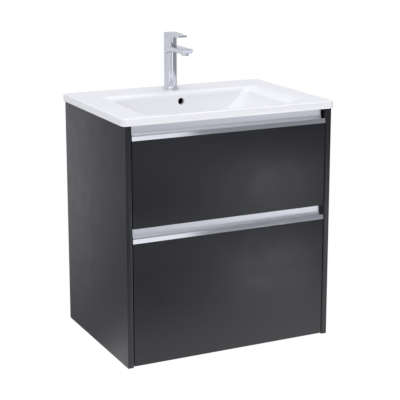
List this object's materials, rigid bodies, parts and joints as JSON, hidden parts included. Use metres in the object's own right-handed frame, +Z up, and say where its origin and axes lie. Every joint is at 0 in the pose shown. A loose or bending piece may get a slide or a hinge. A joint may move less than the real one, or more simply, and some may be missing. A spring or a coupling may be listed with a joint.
{
  "type": "bathroom vanity cabinet",
  "caption": "Wall-hung vanity with sliding drawers behind full-width grip profiles, a slim glazed basin and a single-lever tap.",
  "frame": {"origin": "middle of the four wall screws, on the wall plane", "axes": "+Z up, front of the cabinet towards -Y, +X to the right seen from the front"},
  "size_m": [0.618, 0.4395, 0.8211],
  "materials": {
    "anthracite_board": "satin lacquered board",
    "carcass_board": "melamine-faced board",
    "drawer_board": "melamine-faced board",
    "grip_aluminium": "satin anodised, polished lip",
    "glazed_basin": "glossy white glaze",
    "chrome_plate": "polished",
    "galvanised_steel": "zinc plated",
    "zinc_casting": "die cast",
    "beech": "bare",
    "black_rubber": "matt",
    "white_polypropylene": "moulded",
    "machined_brass": "machined",
    "grey_acetal": "moulded",
    "stem_steel": "machined"
  },
  "bodies": {
    "cabinet": {"basin": "glazed_basin", "bottom_panel": "carcass_board", "cam_bolts": "galvanised_steel", "cam_housings": "zinc_casting", "cartridge_nut": "machined_brass", "hanger_adjusters": "galvanised_steel", "left_hanger": "galvanised_steel", "left_side_panel": "anthracite_board", "left_wall_plate": "galvanised_steel", "lower_cabinet_runners": "galvanised_steel", "lower_rear_rail": "carcass_board", "right_hanger": "galvanised_steel", "right_side_panel": "anthracite_board", "right_wall_plate": "galvanised_steel", "tap_aerator": "chrome_plate", "tap_base_seal": "black_rubber", "tap_body": "chrome_plate", "tap_cartridge": "grey_acetal", "tap_clamp_washer": "galvanised_steel", "tap_ring_nut": "machined_brass", "tap_shank": "machined_brass", "trap_body": "white_polypropylene", "trap_cup": "white_polypropylene", "trap_inlet_nut": "white_polypropylene", "trap_inlet_pipe": "white_polypropylene", "trap_outlet_nut": "white_polypropylene", "trap_outlet_pipe": "white_polypropylene", "trap_top_nut": "white_polypropylene", "upper_cabinet_runners": "galvanised_steel", "upper_rear_rail": "carcass_board", "waste_body": "chrome_plate", "waste_lower_seal": "black_rubber", "waste_nut": "white_polypropylene", "waste_upper_seal": "black_rubber", "wooden_dowels": "beech"},
    "upper_drawer": {"upper_drawer_back_left": "drawer_board", "upper_drawer_back_right": "drawer_board", "upper_drawer_floor": "drawer_board", "upper_drawer_front": "anthracite_board", "upper_drawer_left_side": "drawer_board", "upper_drawer_right_side": "drawer_board", "upper_drawer_runners": "galvanised_steel", "upper_front_brackets": "galvanised_steel", "upper_grip_profile": "grip_aluminium", "waste_recess_walls": "drawer_board"},
    "upper_runner_slides": {"upper_middle_runners": "galvanised_steel"},
    "lower_drawer": {"lower_drawer_back": "drawer_board", "lower_drawer_floor": "drawer_board", "lower_drawer_front": "anthracite_board", "lower_drawer_left_side": "drawer_board", "lower_drawer_right_side": "drawer_board", "lower_drawer_runners": "galvanised_steel", "lower_front_brackets": "galvanised_steel", "lower_grip_profile": "grip_aluminium"},
    "lower_runner_slides": {"lower_middle_runners": "galvanised_steel"},
    "waste_plug": {"waste_plug": "chrome_plate"},
    "lever_carrier": {"lever_carrier": "grey_acetal"},
    "tap_lever": {"tap_lever": "chrome_plate", "lever_stem": "stem_steel"}
  },
  "joints": [
    {"name": "upper_drawer_slide", "type": "slide", "parent": "cabinet", "child": "upper_drawer", "axis": [0, -1, 0], "range_m": [0, 0.34]},
    {"name": "upper_runner_travel", "type": "slide", "parent": "cabinet", "child": "upper_runner_slides", "axis": [0, -1, 0], "range_m": [0, 0.17]},
    {"name": "lower_drawer_slide", "type": "slide", "parent": "cabinet", "child": "lower_drawer", "axis": [0, -1, 0], "range_m": [0, 0.34]},
    {"name": "lower_runner_travel", "type": "slide", "parent": "cabinet", "child": "lower_runner_slides", "axis": [0, -1, 0], "range_m": [0, 0.17]},
    {"name": "waste_plug_lift", "type": "slide", "parent": "cabinet", "child": "waste_plug", "axis": [0, 0, 1], "range_m": [0, 0.008]},
    {"name": "lever_turn", "type": "hinge", "parent": "cabinet", "child": "lever_carrier", "pos_m": [0, -0.053, 0.193], "axis": [0, 0, 1], "range_deg": [-45, 45]},
    {"name": "lever_lift", "type": "hinge", "parent": "lever_carrier", "child": "tap_lever", "pos_m": [0, -0.053, 0.193], "axis": [-1, 0, 0], "range_deg": [0, 20]}
  ],
  "couplings": [
    {"joint": "upper_runner_travel", "follows": "upper_drawer_slide", "ratio": 0.5},
    {"joint": "lower_runner_travel", "follows": "lower_drawer_slide", "ratio": 0.5}
  ]
}
